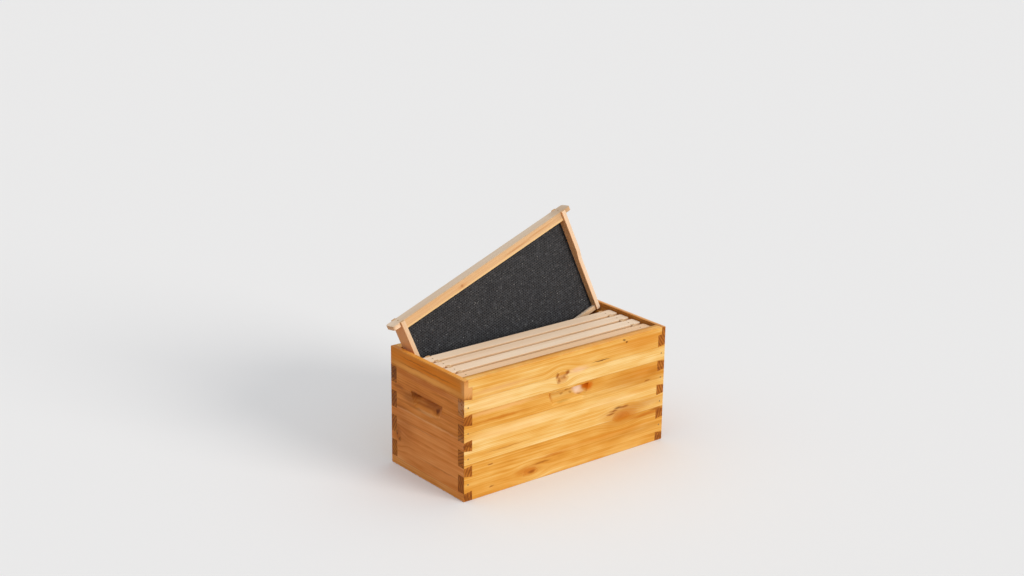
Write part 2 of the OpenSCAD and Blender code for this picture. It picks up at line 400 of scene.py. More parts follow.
# The end grain's rings are drawn twice as wide as real ones, or they would not show.
END_RING_MM = 6.5
RING_BEND_MM = 12.0
RING_SHADES = ((0.0, 0.1), (0.45, 0.25), (0.86, 1.0), (0.97, 0.1))
RING_RELIEF = 0.5
BUMP_STRENGTH = 0.25
NOISE_ROUGHNESS = 0.55


def stretched(tree, grain, lengths, detail, out="Fac"):
    """Noise whose features have these lengths in mm along, across and through the grain."""
    shares = tuple(1 / length for length in lengths)
    scaled = add(tree, VECTOR_MATH, {0: grain, 1: shares}, operation="MULTIPLY")
    return add(tree, "ShaderNodeTexNoise",
               {"Vector": scaled, "Scale": 1.0, "Detail": detail, "Roughness": NOISE_ROUGHNESS}, out=out)


def ring_lines(tree, across, through, waver, spacing):
    """How much summer wood a point holds, from its distance to the pith."""
    spot = add(tree, "ShaderNodeCombineXYZ", {0: across, 1: through})
    radius = add(tree, VECTOR_MATH, {0: spot}, operation="LENGTH")
    bent = add(tree, MATH, {0: waver, 1: RING_BEND_MM, 2: radius}, operation="MULTIPLY_ADD")
    count = add(tree, MATH, {0: bent, 1: spacing}, operation="DIVIDE")
    part = add(tree, MATH, {0: count}, operation="FRACT")
    return add(tree, "ShaderNodeValToRGB", {0: part}, stops=[(at, (s,) * 4) for at, s in RING_SHADES])


def summed(tree, shade, wood, shares):
    """A shade plus the given share of each noise or ring."""
    for name, share in shares.items():
        shade = add(tree, MATH, {0: wood[name], 1: share, 2: shade}, operation="MULTIPLY_ADD")
    return shade


def toned(tree, shade, places, rows, share):
    """The colour of a shade in the first row of tones, mixed by share with that in the second."""
    first, second = (
        add(tree, "ShaderNodeValToRGB", {0: shade}, stops=list(zip(places, map(linear, row))))
        for row in rows)
    return add(tree, MIX, {0: share, MIX_FROM: first, MIX_TO: second}, **COLOURS)


def wood_surface(shader, colour, wood, least_rough, spread, relief_mm):
    """Gives a shader its colour, and lets fibres and rings roughen and raise the surface a little."""
    tree = shader.id_data
    fibre, ring = wood["fibre"], wood["ring"]
    rough = add(tree, MATH, {0: fibre, 1: spread, 2: least_rough}, operation="MULTIPLY_ADD")
    relief = add(tree, MATH, {0: ring, 1: RING_RELIEF, 2: fibre}, operation="MULTIPLY_ADD")
    bump = add(tree, "ShaderNodeBump",
               {"Height": relief, "Strength": BUMP_STRENGTH, "Distance": relief_mm * MM})
    feed(shader, {"Base Color": colour, "Roughness": rough, "Normal": bump})


print("rings every", RING_MM, "mm, on the end grain every", END_RING_MM, "mm")

# %% [markdown]
# ## Knots and marks
# A knot is the foot of a branch, and the grain parts before it and closes again behind. Around it are
# streaks of resin, and elsewhere pale sapwood and dark flecks. They could be painted on a picture of
# each board. Here each is an oval in the block with a soft edge, so it stays clear in a close view and
# goes round the edges of the board. A few marks paint shade and highlights instead, in the handholds,
# on inner walls and on edges.

# %% Set knots and marks into the wood
MARK_RIM = 1.25
MARK_CORE = 0.2
FLOW_RIM = 3.2
FLOW_CORE = 0.4
FLOW_ASIDE = -0.85
# Each ring of a knot is (share of its radius, colour, how much of the wood it covers).
KNOT_RINGS = (
    (0.0, "#96480a", 0.6),
    (0.3, "#c0680c", 0.5),
    (0.5, "#d68014", 0.4),
    (0.62, "#bc6608", 0.45),
    (0.75, "#e0901e", 0.3),
    (0.88, "#b05a04", 0.35),
    (1.0, "#d08010", 0.0),
)


def reach(tree, grain, place):
    """The way from the middle of an oval in a board, and its length: 1 at the oval's edge."""
    along, high, half_length, half_height, *deep = place
    middle = (along, high, deep[0] if deep else 0)
    shares = (1 / half_length, 1 / half_height, 1 / deep[1] if deep else 0)
    away = add(tree, VECTOR_MATH, {0: grain, 1: middle}, operation="SUBTRACT")
    oval = add(tree, VECTOR_MATH, {0: away, 1: shares}, operation="MULTIPLY")
    return away, add(tree, VECTOR_MATH, {0: oval}, operation="LENGTH")


def marked(tree, colour, grain, marks):
    """Tints ovals, each given as (place, strength, colour). A place is (along, up, half length, half
    height) and, where it ends in the thickness, (through, half thickness), all in mm."""
    for place, strength, tone in marks:
        far = reach(tree, grain, place)[1]
        near = add(tree, "ShaderNodeMapRange", {0: far, 1: MARK_RIM, 2: MARK_CORE, 3: 0.0, 4: strength},
                   interpolation_type="SMOOTHSTEP")
        colour = add(tree, MIX, {0: near, MIX_FROM: colour, MIX_TO: linear(tone)}, **COLOURS)
    return colour


def flow_around(tree, grain, knots):
    """Bends the grain so that its lines part before a knot and close again behind it."""
    flowing = grain
    for place in knots:
        away, far = reach(tree, grain, place)
        near = add(tree, "ShaderNodeMapRange", {0: far, 1: FLOW_RIM, 2: FLOW_CORE, 3: 0.0, 4: FLOW_ASIDE},
                   interpolation_type="SMOOTHSTEP")
        across = add(tree, VECTOR_MATH, {0: away, 1: (0, 1, 0)}, operation="MULTIPLY")
        aside = add(tree, VECTOR_MATH, {0: across, "Scale": near}, operation="SCALE")
        flowing = add(tree, VECTOR_MATH, {0: flowing, 1: aside}, operation="ADD")
    return flowing


def knot_in(tree, colour, grain, place):
    """Sets a branch into the board: a dark heart and brown rings that fade at its edge."""
    far = reach(tree, grain, place)[1]
    rings = add(tree, "ShaderNodeValToRGB", {0: far}, stops=[
        (at, linear(tone)[:3] + (cover,)) for at, tone, cover in KNOT_RINGS])
    cover = rings.node.outputs["Alpha"]
    return add(tree, MIX, {0: cover, MIX_FROM: colour, MIX_TO: rings}, **COLOURS)


print(len(KNOT_RINGS), "rings in a knot")

# %% [markdown]
# ## The planks of a board
# Each board is glued up from a few planks, each from another place in a tree. They could be pieces of
# their own, but the board is planed as one and its glue lines are too fine to feel. So a ramp over the
# height says which plank a point is in: how dark and how red it is and where its pith lies. The same
# values shift the noise, so no plank continues its neighbour.

# %% Lay out the planks
# Each noise is (lengths in mm along, across and through the grain, detail). Fibres are finer than a hair
# and are drawn as bundles 0.7 mm wide, or they would not show.
FIR_NOISE = {
    "fibre": ((45, 0.7, 0.7), 3),
    "streak": ((520, 6, 12), 3),
    "cloud": ((90, 22, 40), 2),
    "waver": ((420, 50, 50), 2),
}
RAGGED_MM = (18, 11, 11)
RAGGED_BY_MM = (16, 5, 0)
PLANK_SHIFT_MM = (4000, 900, 700)
PITH_BEHIND_MM = 30


def ragged_edges(tree, grain):
    """The grain moved to and fro a little, so that ovals set in it get uneven edges."""
    noise = stretched(tree, grain, RAGGED_MM, 2, out="Color")
    moved = add(tree, VECTOR_MATH, {0: noise, 1: RAGGED_BY_MM, 2: grain}, operation="MULTIPLY_ADD")
    half_way = tuple(mm / 2 for mm in RAGGED_BY_MM)
    return add(tree, VECTOR_MATH, {0: moved, 1: half_way}, operation="SUBTRACT")


def plank_patterns(tree, grain, planks, knots):
    """What each point of a board holds, by name. planks are (lower edge, tone, redness, pith height)."""
    _, height, depth = add(tree, "ShaderNodeSeparateXYZ", {0: grain}).node.outputs
    share = add(tree, MATH, {0: height, 1: BOX_H / MM}, operation="DIVIDE")
    plank = add(tree, "ShaderNodeValToRGB", {0: share}, stops=[
        (low * MM / BOX_H, (tone, red, pith * MM / BOX_H, 1)) for low, tone, red, pith in planks])
    plank.node.color_ramp.interpolation = "CONSTANT"
    tone, red, pith = add(tree, "ShaderNodeSeparateColor", {0: plank}).node.outputs

    flowing = flow_around(tree, grain, knots)
    shift = add(tree, VECTOR_MATH, {0: plank, 1: PLANK_SHIFT_MM}, operation="MULTIPLY")
    own = add(tree, VECTOR_MATH, {0: flowing, 1: shift}, operation="ADD")
    wood = {name: stretched(tree, own, *noise) for name, noise in FIR_NOISE.items()}
    rise = add(tree, "ShaderNodeSeparateXYZ", {0: flowing}, out="Y")
    across = add(tree, MATH, {0: pith, 1: -BOX_H / MM, 2: rise}, operation="MULTIPLY_ADD")
    through = add(tree, MATH, {0: depth, 1: PITH_BEHIND_MM}, operation="ADD")
    for name, spacing in (("ring", RING_MM), ("end_ring", END_RING_MM)):
        wood[name] = ring_lines(tree, across, through, wood["waver"], spacing)
    return wood | {"height": height, "tone": tone, "red": red}


print("noises of the fir:", ", ".join(FIR_NOISE))

# %% [markdown]
# ## The waxed fir
# Planed fir is nearly white. Hot wax turns it honey-gold and leaves a faint gleam. The open ends drink
# most of it, so the pins show as brown squares. One colour with a pattern over it would look printed,
# so streaks, clouds, rings and fibres first add up to a shade, which picks a tone from a row of honey
# colours or a row of redder ones.

# %% Build the waxed fir
FIR_SHARES = {"streak": 0.9, "cloud": 0.75, "ring": 0.17, "fibre": 0.36}
FIR_SHADE_DROP = 1.06
FIR_PLACES = (0.0, 0.28, 0.55, 0.8, 1.0)
HONEY = ("#f9df9e", "#efc26c", "#e2a546", "#ce8c33", "#a86a22")
REDDISH = ("#fdc48a", "#f2a864", "#e08f48", "#c57434", "#94501f")
GLUE = "#8a5320"
SEAM_HALF_MM = 0.35
SEAM_STRENGTH = 0.3
SAWN_PALE = "#d28a38"
SAWN_SOAKED = "#8c4309"
SAWN_RING = "#5c2704"
SOAK_CONTRAST = 1.6
SOAK_LEVEL = -0.55
END_RING_STRENGTH = 0.75


def sawn_ends(tree, colour, wood):
    """Turns the faces that cut the grain brown, with arcs of rings."""
    soaked = add(tree, MATH, {0: wood["cloud"], 1: SOAK_CONTRAST, 2: SOAK_LEVEL}, operation="MULTIPLY_ADD")
    sawn = add(tree, MIX, {0: soaked, MIX_FROM: linear(SAWN_PALE), MIX_TO: linear(SAWN_SOAKED)}, **COLOURS)
    line = add(tree, MATH, {0: wood["end_ring"], 1: END_RING_STRENGTH}, operation="MULTIPLY")
    sawn = add(tree, MIX, {0: line, MIX_FROM: sawn, MIX_TO: linear(SAWN_RING)}, **COLOURS)
    cut = add(tree, "ShaderNodeAttribute", out="Fac", attribute_name="end_grain")
    return add(tree, MIX, {0: cut, MIX_FROM: colour, MIX_TO: sawn}, **COLOURS)


def waxed_fir(name, planks, knots, marks):
    """The wood of one board."""
    # The planer leaves the face flat, with the fibres cut open. Wax has sunk into them and stands as a
    # thin skin on top, so the eye gets a deep, warm colour under a weak, broad gleam.
    material, tree, shader = new_material(name)
    grain = add(tree, "ShaderNodeAttribute", out="Vector", attribute_name="grain_mm")
    wood = plank_patterns(tree, grain, planks, knots)
    shade = summed(tree, wood["tone"], wood, FIR_SHARES)
    shade = add(tree, MATH, {0: shade, 1: FIR_SHADE_DROP}, operation="SUBTRACT")
    colour = toned(tree, shade, FIR_PLACES, (HONEY, REDDISH), wood["red"])
    for low, *_ in planks[1:]:
        seam = add(tree, MATH, {0: wood["height"], 1: low, 2: SEAM_HALF_MM}, operation="COMPARE")
        faint = add(tree, MATH, {0: seam, 1: SEAM_STRENGTH}, operation="MULTIPLY")
        colour = add(tree, MIX, {0: faint, MIX_FROM: colour, MIX_TO: linear(GLUE)}, **COLOURS)
    colour = sawn_ends(tree, colour, wood)
    bent = ragged_edges(tree, grain)
    for place in knots:
        colour = knot_in(tree, colour, bent, place)
    colour = marked(tree, colour, bent, marks)
    wood_surface(shader, colour, wood, least_rough=0.34, spread=0.25, relief_mm=0.15)
    feed(shader, {"IOR": 1.44, "Specular IOR Level": 0.12, "Coat Weight": 0.04, "Coat Roughness": 0.3})
    return material


print("glue lines", 2 * SEAM_HALF_MM, "mm wide")

# %% [markdown]
# ## Four boards from the list of their planks and marks
# The front and the left end follow the picture: the heights of the glue lines, the tone of each plank
# and the places of the knots. The back and the right end aren't seen there, so they have a layout of
# their own. One function makes all four, so they differ only by these lists. Some marks are painted
# shade and highlights: in the handholds, on the front's inner top edge and on the right end's inner
# wall and top edge.

# %% Dress the boards
DARK = "#5e2600"
KNOT = "#944806"
RESIN = "#c46e10"
AMBER = "#dc902c"
TOFFEE = "#bc7000"
PALE = "#ffe3ab"
ROSY = "#ffe6d2"
SOAKED = "#6e3510"
TOP_EDGE = ((0, 246, 600, 3.5), 0.5, "#e48830")
BOARD_EASE = 0.9 * MM
JOINT_SHARE = 0.3
BOARDS = {}
BOARDS["front_side_board"] = dict(
    order=[0, 2, 1],
    planks=[
        (0, 0.46, 0.0, -70), (74, 0.24, 0.0, 260), (137, 0.44, 0.0, 20), (175, 0.12, 0.0, 20),
        (202, 0.34, 0.0, 80),
    ],
    knots=[(-17, 197, 17, 13), (138, 78, 24, 11), (-92, 20, 20, 9)],
    marks=[
        ((-130, 124, 130, 12), 0.45, PALE), ((-190, 190, 60, 15), 0.35, PALE),
        ((110, 118, 90, 9), 0.3, PALE), ((-170, 171, 110, 5), 0.6, "#fbd090"),
        ((-170, 213, 90, 7), 0.35, PALE), ((185, 152, 120, 22), 0.45, TOFFEE),
        ((175, 91, 90, 12), 0.45, TOFFEE), ((175, 66, 110, 12), 0.3, TOFFEE),
        ((175, 37, 110, 10), 0.35, TOFFEE), ((142, 80, 60, 22), 0.42, "#c87a10"),
        ((224, 157, 24, 9), 0.5, "#9c5f10"), ((190, 226, 90, 18), 0.55, AMBER),
        ((210, 160, 70, 14), 0.55, AMBER), ((-165, 153, 65, 4), 0.55, RESIN),
        ((-150, 88, 60, 1.6), 0.35, KNOT), ((24, 204, 30, 7), 0.4, ROSY),
        ((-30, 203, 5, 7), 0.8, KNOT), ((-25, 193, 4, 8), 0.6, KNOT), ((-4, 205, 6, 6), 0.8, KNOT),
        ((-11, 198, 5, 5), 0.5, KNOT), ((83, 210, 26, 1.3), 0.85, DARK), ((140, 239, 4, 2.4), 0.85, DARK),
        ((147, 234, 3, 2.6), 0.85, DARK), ((112, 89, 12, 2.4), 0.75, KNOT),
        ((119, 94, 13, 2.6), 0.8, KNOT), ((131, 98, 14, 2.4), 0.7, DARK),
        ((148, 97, 14, 2.4), 0.7, KNOT), ((150, 78, 36, 11), 0.55, RESIN),
        ((205, 66, 45, 4), 0.7, RESIN), ((238, 71, 22, 3), 0.7, KNOT), ((-100, 25, 34, 10), 0.55, RESIN),
        ((-88, 19, 10, 5), 0.65, KNOT), ((-66, 33, 26, 2.5), 0.6, KNOT), ((-36, 41, 40, 3.5), 0.6, RESIN),
        ((100, 46, 165, 6), 0.5, AMBER), ((-192, 62, 7, 2.2), 0.7, KNOT), ((-186, 15, 6, 2.2), 0.7, KNOT),
        # The rosy oval at 29 mm along is a painted highlight on the lit lower part of the handhold.
        ((207, 140, 9, 1.8), 0.7, KNOT), ((29, 161, 14, 9), 1.0, ROSY), ((4, 166, 7, 3), 0.6, KNOT),
        ((10, 158, 5, 3), 0.5, KNOT), ((31, 152, 7, 2), 0.5, KNOT), ((-12, 160, 4, 2.5), 0.5, KNOT),
        # These two orange ovals are painted shade on the end walls of the handhold.
        ((50, 164, 12, 11), 0.95, "#d06a00"), ((-40, 162, 7, 13), 0.7, "#c07208"),
        ((-12, 147, 20, 3), 0.45, "#b07c1c"), TOP_EDGE,
        # The dark oval on the inner half of the top edge is painted shade.
        ((0, 246, 600, 8, -101, 8), 0.55, "#8a4c1a"), ((-252, 189, 2, 17), 0.5, "#e2b890"),
    ],
)
BOARDS["back_side_board"] = dict(
    order=[0, 2, 1],
    planks=[(0, 0.38, 0.0, 140), (62, 0.28, 0.0, -40), (121, 0.5, 0.0, 20), (186, 0.26, 0.0, 60)],
    knots=[(120, 150, 17, 9), (-150, 34, 20, 9), (-58, 214, 12, 7)],
    marks=[
        ((140, 151, 60, 7), 0.45, RESIN), ((-120, 33, 60, 8), 0.45, RESIN),
        ((60, 92, 120, 5), 0.4, AMBER), ((-100, 100, 100, 9), 0.4, PALE), ((190, 70, 26, 2), 0.6, KNOT),
        ((118, 150, 6, 3), 0.7, DARK), ((-152, 34, 7, 3), 0.7, DARK),
        ((-252, 191, 3, 18), 0.7, "#4a1800"), ((-252, 139, 3, 18), 0.4, "#5a2a0c"), TOP_EDGE,
    ],
)
BOARDS["left_end_board"] = dict(
    order=[1, 2, 0],
    planks=[(0, 0.36, 0.7, 80), (14, 0.44, 0.9, -60), (126, 0.56, 0.75, 20), (208, 0.62, 0.45, 90)],
    knots=[(-28, 152, 7, 6), (99, 60, 13, 11)],
    marks=[
        ((85, 85, 50, 50), 0.22, "#7a3c18"), ((0, 200, 145, 8), 0.4, "#a84408"),
        ((-60, 226, 70, 8), 0.4, "#ffb040"), ((0, 124, 135, 2.5), 0.45, "#ffd49a"),
        # The dark ovals at 58, -5, 40 and -30 mm along, 150 to 170 mm up, are painted shade in and by the
        # handhold.
        ((95, 167, 26, 5), 0.6, KNOT), ((58, 156, 34, 14), 0.45, "#7a3800"),
        ((0, 141, 36, 4), 0.5, "#ffcf90"), ((70, 199, 34, 7), 0.35, RESIN),
        ((-5, 160, 44, 13), 0.6, "#96500e"), ((40, 166, 15, 8), 0.75, "#7a3a0a"),
        ((-30, 153, 7, 7), 0.8, DARK), ((97, 74, 14, 12), 0.4, KNOT),
        ((0, 230, 170, 17), 0.75, "#e88a0a"), ((0, 214, 145, 7), 0.85, "#ffc068"),
        ((40, 233, 60, 1.6), 0.55, KNOT), ((-30, 227, 80, 2), 0.5, KNOT),
        ((50, 220, 50, 1.6), 0.45, KNOT), ((-60, 190, 60, 2), 0.35, KNOT),
        ((30, 140, 70, 2.4), 0.35, KNOT), ((20, 100, 90, 2), 0.3, KNOT),
        ((-40, 40, 80, 2.2), 0.3, KNOT), ((-119, 226, 12, 20), 0.9, "#e6b070"),
        ((-119, 111.5, 2, 9), 0.7, SOAKED), ((-119, 60, 2, 9), 0.25, SOAKED),
        ((-119, 8, 2, 9), 0.6, "#6e3a1c"), ((101, 68, 3, 6), 0.75, DARK), ((92, 58, 4, 5), 0.6, DARK),
        ((104, 30, 4, 8), 0.6, DARK),
    ],
)
BOARDS["right_end_board"] = dict(
    order=[1, 2, 0],
    planks=[(0, 0.5, 0.5, 140), (88, 0.4, 0.4, -40), (160, 0.56, 0.5, 40)],
    knots=[(63, 118, 14, 8), (-69, 40, 12, 7)],
    marks=[
        ((80, 119, 40, 6), 0.45, RESIN), ((-50, 41, 40, 6), 0.45, RESIN), ((20, 205, 70, 5), 0.35, AMBER),
        ((-20, 70, 80, 8), 0.35, PALE), ((62, 118, 5, 3), 0.7, DARK), ((-70, 40, 4, 2.5), 0.7, DARK),
        # The two dark ovals on the inner wall are painted shade. The cream oval on the outer half of the top
        # edge, on the next line, is a painted highlight.
        ((0, 236, 170, 18, 241, 7), 0.7, "#8c4a0c"), ((-95, 236, 40, 18, 241, 7), 0.5, "#6a3408"),
        ((0, 245, 170, 3, 252, 5), 0.5, "#ffe9cc"), ((-119, 8, 2, 10), 0.6, "#6e3a1c"),
    ],
)

for node, board in BOARDS.items():
    piece = eased(node, node + "_eased", BOARD_EASE, JOINT_SHARE)
    lay_grain(piece, PLACES["box"], board["order"])
    fir = waxed_fir("waxed fir " + node, board["planks"], board["knots"], board["marks"])
    hand_over(piece, fir, "box", node)
    print(piece.name, len(piece.data.polygons), "faces")

# %% [markdown]
# ## The frames' bare wood
# The frames are pine without wax, so they are pale and matte. The sticks are planed on the faces that
# look up and down and only sawn on their broad sides, which look warmer and are also made darker, as
# painted shade in the gaps between the top bars. The same rings serve here with less contrast. A material
# for each stick would do, but one for all is easier to change.

# %% Build the planed pine
# These fibres too are bundles wider than real ones, or they would not show.
PINE_NOISE = {
    "fibre": ((26, 0.6, 0.6), 3),
    "streak": ((220, 9, 9), 2),
    "waver": ((160, 30, 30), 2),
    "tint": ((420, 60, 60), 1),
}
PINE_SHARES = {"streak": 0.7, "ring": 0.22, "fibre": 0.3}
PINE_SHADE = -0.2
PINE_PLACES = (0.0, 0.45, 0.8, 1.0)
PLANED = ("#fcecd8", "#f1dbc0", "#e2bd95", "#c8966a")
# The sawn tones are darker than the wood alone, as painted shade in the gaps between the top bars.
SAWN_AND_SHADE = ("#ecd1b0", "#e0bd94", "#cda070", "#b57f4e")
PINE_TINT = "#ecc4a4"
TINT_SHARE = 0.35
PINE_END = "#dcb688"
PINE_END_RING = "#bf9060"


def planed_pine(marks):
    """The wood of all sticks."""
    # A planer's knives shave one pair of faces smooth, and the saw leaves the other with short torn fibres.
    # Nothing fills them, so the eye gets a dry, even paleness, warmer where the fibres stand up. The sawn
    # sides are also darker, which paints the shade in the gaps between the top bars.
    material, tree, shader = new_material("planed pine")
    grain = add(tree, "ShaderNodeAttribute", out="Vector", attribute_name="grain_mm")
    cut = add(tree, "ShaderNodeAttribute", out="Fac", attribute_name="end_grain")
    broad = add(tree, "ShaderNodeAttribute", out="Fac", attribute_name="broad_side")
    _, across, through = add(tree, "ShaderNodeSeparateXYZ", {0: grain}).node.outputs
    wood = {name: stretched(tree, grain, *noise) for name, noise in PINE_NOISE.items()}
    wood["ring"] = ring_lines(tree, across, through, wood["waver"], RING_MM)
    shade = summed(tree, PINE_SHADE, wood, PINE_SHARES)
    colour = toned(tree, shade, PINE_PLACES, (PLANED, SAWN_AND_SHADE), broad)
    tinted = add(tree, MIX, {0: wood["tint"], MIX_FROM: colour, MIX_TO: linear(PINE_TINT)},
                 **COLOURS, blend_type="MULTIPLY")
    colour = add(tree, MIX, {0: TINT_SHARE, MIX_FROM: colour, MIX_TO: tinted}, **COLOURS)
    ends = {0: wood["ring"], MIX_FROM: linear(PINE_END), MIX_TO: linear(PINE_END_RING)}
    ends = add(tree, MIX, ends, **COLOURS)
    colour = add(tree, MIX, {0: cut, MIX_FROM: colour, MIX_TO: ends}, **COLOURS)
    colour = marked(tree, colour, grain, marks)
    wood_surface(shader, colour, wood, least_rough=0.5, spread=0.2, relief_mm=0.12)
    return material


print("noises of the pine:", ", ".join(PINE_NOISE))

# %% [markdown]
# ## Twenty sticks from one tree
# Every stick starts at another spot in the tree, by a shift of its grain, so no two look alike. The
# marks follow the picture: a knot and streaks on the leaning top bar, and tints of some faces, several
# of them painted shade and light. A mark is given on its stick and moves to the tree with the same shift.

# %% Dress the sticks
STICK_EASE = 0.6 * MM
STICK_SHIFT_MM = np.array([731.0, 37.0, 53.0])
BAR_ORDER = [0, 2, 1]
SIDE_ORDER = [2, 1, 0]
STICK_ORDER = {
    "top_bar": BAR_ORDER,
    "bottom_bar": BAR_ORDER,
    "left_side_bar": SIDE_ORDER,
    "right_side_bar": SIDE_ORDER,
}
BAR_UP_MM = 108
BAR_TOP_MM = 120
BAR_FRONT_MM = -13.5
LUG_ALONG_MM = 232
SIDE_OUTER_MM = 224
SIDE_INNER_MM = 214.5
SIDE_FRONT_MM = -17.5
STICK_MARKS = {
    # The tint over the whole frontmost top bar, warmer and darker, is painted shade.
    ("frame_1", "top_bar"): [((0, BAR_UP_MM, 900, 60), 0.5, "#e8b070")],
    ("frame_5", "top_bar"): [
        ((0, BAR_UP_MM, 900, 40, BAR_FRONT_MM, 4), 0.32, "#d8aa66"),
        ((0, 101, 900, 5, BAR_FRONT_MM, 4), 0.5, "#fbdc9c"),
        # The grey oval over the top face is painted shade.
        ((0, BAR_TOP_MM + 1, 900, 4), 0.28, "#a09381"),
        ((-66, 108, 16, 5, BAR_FRONT_MM, 5), 0.4, "#cf8a42"),
        ((-66, 109, 4, 4, BAR_FRONT_MM, 5), 0.6, "#a5662a"),
        ((85, 109, 42, 2, BAR_FRONT_MM, 5), 0.6, "#b87a3a"),
        ((150, 112, 50, 2.5, BAR_FRONT_MM, 5), 0.5, "#c08442"),
        ((-LUG_ALONG_MM, BAR_UP_MM, 18, 16), 0.7, "#f9e2ca"),
        # The grey-tan oval on the right lug is painted shade.
        ((LUG_ALONG_MM - 10, 116, 30, 14), 0.55, "#b69674"),
    ],
    ("frame_5", "left_side_bar"): [
        ((0, SIDE_FRONT_MM, 300, 5), 0.36, "#c8a068"),
        # The orange tint on the outer face is painted warm light, bounced from the box.
        ((0, 0, 300, 40, -SIDE_OUTER_MM, 3), 0.4, "#f4ae6c"),
    ],
    # The pale orange tint on the inner face is painted light on a face that stands in shade.
    ("frame_5", "right_side_bar"): [((0, 0, 300, 40, SIDE_INNER_MM, 3), 0.6, "#ffbe80")],
}
sticks = [(body, part) for body in FRAMES for part in STICK_ORDER]
shifts = {stick: STICK_SHIFT_MM * (i + 1) for i, stick in enumerate(sticks)}


def in_tree(stick, place):
    """The place of a mark on one stick, moved to where the stick was cut from the tree."""
    along, across, half_length, half_height, *deep = place
    shift = shifts[stick]
    through = (deep[0] + shift[2], deep[1]) if deep else ()
    return (along + shift[0], across + shift[1], half_length, half_height, *through)


pine = planed_pine([
    (in_tree(stick, place), strength, tone)
    for stick, marks in STICK_MARKS.items() for place, strength, tone in marks])
for body, part in sticks:
    node = body + "_" + part
    piece = eased(node, node + "_eased", STICK_EASE)
    lay_grain(piece, PLACES[body], STICK_ORDER[part], shifts[body, part])
    hand_over(piece, pine, body, node)
print(len(sticks), "sticks of pine")

# %% [markdown]
# ## The cells of the foundation
# A foundation sheet is black plastic moulded with the bottoms of cells, so that bees draw their comb
# from it. Each cell is a six-sided pit about 5.3 mm across with a low rim. A bump map would do at a
# distance, but the pits catch light at their edges, so they are real here. A Geometry Nodes tree lays
# one pit on the points of a hexagonal grid, on both faces, and welds the rims together.

# %% Build the comb tree
CELL_MM = 5.3
RIM_MM = 0.42
PIT_MM = 0.55
RIM_DROP_MM = 0.12
CELL_SIDES = 6
CELL_WELD = 0.02 * MM
QUARTER_TURN = math.radians(90)
# A row lies one and a half times the outer radius above the last, and odd rows stand half a cell aside.
ROW_STEP = 1.5
HALF_CELL = 0.5


def new_tree(name, kinds, result):
    """A Geometry Nodes tree with these inputs and one result, and its inputs by name."""
    tree = bpy.data.node_groups.new(name, "GeometryNodeTree")
    for socket, kind in kinds.items():
        tree.interface.new_socket(socket, in_out="INPUT", socket_type="NodeSocket" + kind)
    tree.interface.new_socket(result, in_out="OUTPUT", socket_type="NodeSocketGeometry")
    return tree, add(tree, "NodeGroupInput").node.outputs


def end_tree(tree, geometry, material):
    """Ends a tree with real faces of one material."""
    real = add(tree, "GeometryNodeRealizeInstances", {0: geometry})
    done = add(tree, "GeometryNodeSetMaterial", {"Geometry": real, "Material": material})
    add(tree, "NodeGroupOutput", {0: done})
    return tree


def comb_cell(tree, given, outer):
    """One six-sided pit with its rim, whose upper edge lies at height 0."""
    inner = add(tree, MATH, {0: outer, 1: given["Rim width"]}, operation="SUBTRACT")
    pit, rim = (
        add(tree, "GeometryNodeMeshCone",
            {"Vertices": CELL_SIDES, "Radius Top": top, "Radius Bottom": bottom, "Depth": given[depth]},
            fill_type="NONE")
        for top, bottom, depth in ((inner, 0.0, "Pit depth"), (outer, inner, "Rim drop")))
    lift = add(tree, "ShaderNodeCombineXYZ", {2: given["Pit depth"]})
    rim = add(tree, "GeometryNodeTransform", {"Geometry": rim, "Translation": lift})
    rim = add(tree, "GeometryNodeStoreNamedAttribute", {"Geometry": rim, "Name": "waxed_rim", "Value": 1.0},
              data_type="FLOAT", domain="FACE")
    cell = add(tree, "GeometryNodeJoinGeometry", {0: [pit, rim]})
    cell = add(tree, "GeometryNodeFlipFaces", {0: cell})
    whole = add(tree, MATH, {0: given["Pit depth"], 1: given["Rim drop"]}, operation="ADD")
    sink = add(tree, MATH, {0: whole, 1: -1.0}, operation="MULTIPLY")
    down = add(tree, "ShaderNodeCombineXYZ", {2: sink})
    return add(tree, "GeometryNodeTransform",
               {"Geometry": cell, "Translation": down, "Rotation": (0, 0, math.pi / CELL_SIDES)})


def comb_points(tree, given, outer):
    """The middles of the cells on the front face, row by row."""
    columns, rows = given["Columns"], given["Rows"]
    count = add(tree, MATH, {0: columns, 1: rows}, operation="MULTIPLY")
    index = add(tree, "GeometryNodeInputIndex")
    turns = add(tree, MATH, {0: index, 1: columns}, operation="DIVIDE")
    row = add(tree, MATH, {0: turns}, operation="FLOOR")
    column = add(tree, MATH, {0: index, 1: columns}, operation="MODULO")
    odd = add(tree, MATH, {0: row, 1: 2.0}, operation="MODULO")
    across = add(tree, MATH, {0: odd, 1: HALF_CELL, 2: column}, operation="MULTIPLY_ADD")
    rise = add(tree, MATH, {0: outer, 1: ROW_STEP}, operation="MULTIPLY")
    spot = {1: add(tree, MATH, {0: given["Face"], 1: -1.0}, operation="MULTIPLY")}
    for axis, number, total, margin, step, start in (
            (0, across, columns, HALF_CELL / 2, given["Cell width"], 0.0),
            (2, row, rows, HALF_CELL, rise, given["Middle height"])):
        middle = add(tree, MATH, {0: total, 1: 0.5, 2: -margin}, operation="MULTIPLY_ADD")
        away = add(tree, MATH, {0: number, 1: middle}, operation="SUBTRACT")
        spot[axis] = add(tree, MATH, {0: away, 1: step, 2: start}, operation="MULTIPLY_ADD")
    spot = add(tree, "ShaderNodeCombineXYZ", spot)
    return add(tree, "GeometryNodePoints", {"Count": count, "Position": spot})


